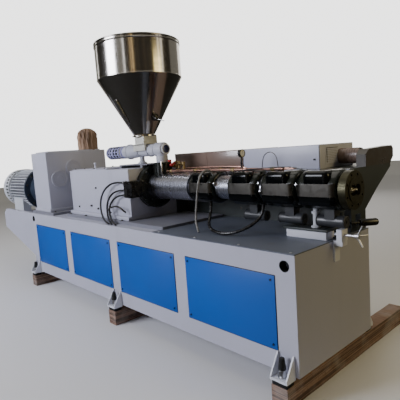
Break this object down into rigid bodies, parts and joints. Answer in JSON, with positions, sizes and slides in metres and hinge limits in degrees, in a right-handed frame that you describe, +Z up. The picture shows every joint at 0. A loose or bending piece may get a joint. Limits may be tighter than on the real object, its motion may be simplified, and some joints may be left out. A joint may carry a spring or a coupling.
{
  "type": "conical twin-screw plastic extruder",
  "caption": "Plastic extruder: steel bed with covered panels, drive motor, gearboxes, heated barrel, stainless hopper with feeder, rear control shelf and handwheel, on shipping timbers.",
  "frame": {"origin": "on the floor, under the barrel's axis and half way along the bed", "axes": "+X along the barrel towards the discharge end, +Z up, -Y the operator's side"},
  "size_m": [4.8565, 1.374, 2.17],
  "materials": {
    "bed_paint": "semi-gloss light grey enamel",
    "blue_paint": "semi-gloss blue enamel",
    "deck_paint": "worn dark grey-blue enamel",
    "plate_paint": "light grey enamel",
    "foot_paint": "white enamel",
    "foot_rubber": "matte black",
    "timber": "rough laminated timber",
    "motor_paint": "semi-gloss pale blue-grey enamel",
    "coupling_paint": "dark grey-blue enamel",
    "gearbox_paint": "semi-gloss light grey enamel",
    "wrap_paper": "brown wrapping paper",
    "junction_plastic": "gloss black",
    "barrel_steel": "ground steel",
    "dark_iron": "blackened iron",
    "shroud_paint": "gloss black-green enamel",
    "die_steel": "turned tool steel",
    "screw_steel": "polished",
    "blower_metal": "cast aluminium",
    "support_paint": "white enamel",
    "wheel_chrome": "polished",
    "feeder_metal": "painted cast aluminium",
    "feeder_motor_paint": "lilac-grey enamel",
    "neck_paint": "white enamel",
    "hopper_steel": "polished stainless steel",
    "fitting_steel": "dark steel",
    "stand_paint": "dark enamel",
    "control_paint": "light grey enamel",
    "duct_paint": "brown enamel",
    "rear_duct_paint": "grey-brown enamel",
    "pipe_copper": "copper pipe",
    "gauge_metal": "polished",
    "hose_rubber": "satin black",
    "cable_sheath": "grey braid"
  },
  "bodies": {
    "machine": {"barrel": "barrel_steel", "barrel_end_flange": "die_steel", "barrel_rear_flange": "dark_iron", "barrel_support": "support_paint", "base_plates": "plate_paint", "bed_body": "bed_paint", "bed_prow": "bed_paint", "cable_black": "hose_rubber", "cable_grey": "cable_sheath", "control_box": "control_paint", "cooling_blowers": "blower_metal", "deck_plate": "deck_paint", "distribution_box": "gearbox_paint", "duct_box": "duct_paint", "feed_throat": "dark_iron", "feeder_body": "feeder_metal", "feeder_bracket": "plate_paint", "feeder_gear": "feeder_metal", "feeder_motor": "feeder_motor_paint", "foot_bolts": "foot_rubber", "foot_brackets": "foot_paint", "gearbox_covers": "gearbox_paint", "gearbox_housing": "gearbox_paint", "handwheel_bracket": "support_paint", "heater_zone_1": "shroud_paint", "heater_zone_2": "shroud_paint", "heater_zone_3": "shroud_paint", "heater_zone_4": "shroud_paint", "hopper": "hopper_steel", "hopper_fittings": "fitting_steel", "hopper_neck": "neck_paint", "hose_lower": "hose_rubber", "hose_middle": "hose_rubber", "hose_upper": "hose_rubber", "junction_box": "junction_plastic", "motor_body": "motor_paint", "motor_coupling": "coupling_paint", "motor_fan_hood": "motor_paint", "oil_pipes": "pipe_copper", "pressure_gauge": "gauge_metal", "rear_duct": "rear_duct_paint", "rear_stand": "stand_paint", "screw_tips": "screw_steel", "side_panels": "blue_paint", "skid_beams": "timber", "wrapped_cap": "wrap_paper"},
    "handwheel": {"handwheel": "wheel_chrome"}
  },
  "joints": [
    {"name": "handwheel_turn", "type": "hinge", "parent": "machine", "child": "handwheel", "pos_m": [1.826, 0, 0.804], "axis": [1, 0, 0], "continuous": true}
  ]
}
